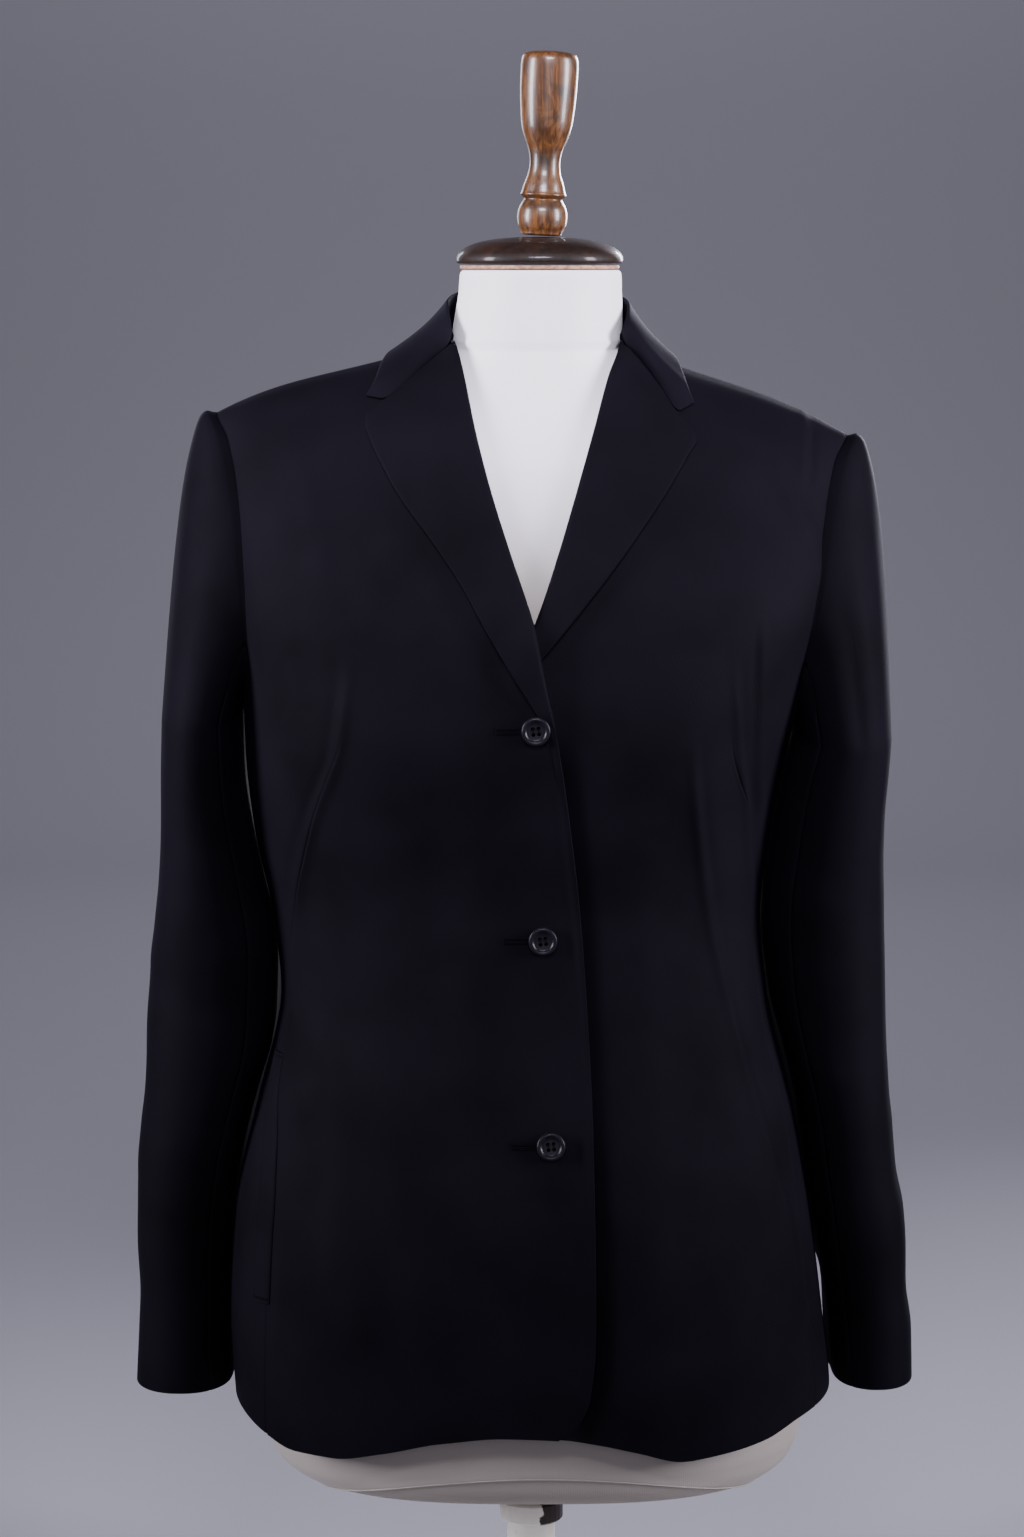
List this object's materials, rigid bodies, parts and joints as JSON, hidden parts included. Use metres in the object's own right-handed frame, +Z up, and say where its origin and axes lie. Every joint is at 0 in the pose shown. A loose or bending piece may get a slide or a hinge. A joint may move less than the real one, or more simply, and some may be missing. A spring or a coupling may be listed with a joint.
{
  "type": "single breasted blazer on a limbless dress form",
  "caption": "Navy single breasted blazer with notch lapels and one in-seam welt pocket, buttoned over a white limbless dress form with a turned finial, short pole and round foot.",
  "frame": {"origin": "centre of the round foot's flat underside, under the dress form's axis", "axes": "+Z up, the blazer's front faces -Y, +X is the wearer's left"},
  "size_m": [0.5017, 0.3, 1.0485],
  "materials": {
    "navy_suiting": "matt fine wool twill with a faint sheen",
    "navy_suiting_lapel": "matt fine wool twill, pressed",
    "navy_suiting_collar": "matt fine wool twill, pressed",
    "navy_suiting_sleeve": "matt fine wool twill with a faint sheen",
    "navy_suiting_welt": "matt fine wool twill, pressed",
    "button_polyester": "glossy moulded",
    "form_jersey": "matt white cotton jersey",
    "cap_plywood": "satin",
    "cap_stained_wood": "dark stain, satin varnish",
    "finial_varnished_wood": "gloss varnish",
    "flange_blackened_steel": "blackened",
    "pole_painted_wood": "satin paint, worn",
    "base_painted_wood": "satin paint"
  },
  "bodies": {
    "root": {"front_right": "navy_suiting", "front_left": "navy_suiting", "back_right": "navy_suiting", "back_left": "navy_suiting", "lapel_right": "navy_suiting_lapel", "lapel_left": "navy_suiting_lapel", "collar": "navy_suiting_collar", "sleeve_upper_right": "navy_suiting_sleeve", "sleeve_upper_left": "navy_suiting_sleeve", "sleeve_under_right": "navy_suiting_sleeve", "sleeve_under_left": "navy_suiting_sleeve", "welt_right": "navy_suiting_welt", "button_top": "button_polyester", "button_middle": "button_polyester", "button_low": "button_polyester", "form_torso": "form_jersey", "cap_disc": "cap_plywood", "neck_cap": "cap_stained_wood", "finial": "finial_varnished_wood", "pole_flange": "flange_blackened_steel", "pole_clamp": "flange_blackened_steel", "pole": "pole_painted_wood", "base": "base_painted_wood"}
  },
  "joints": []
}
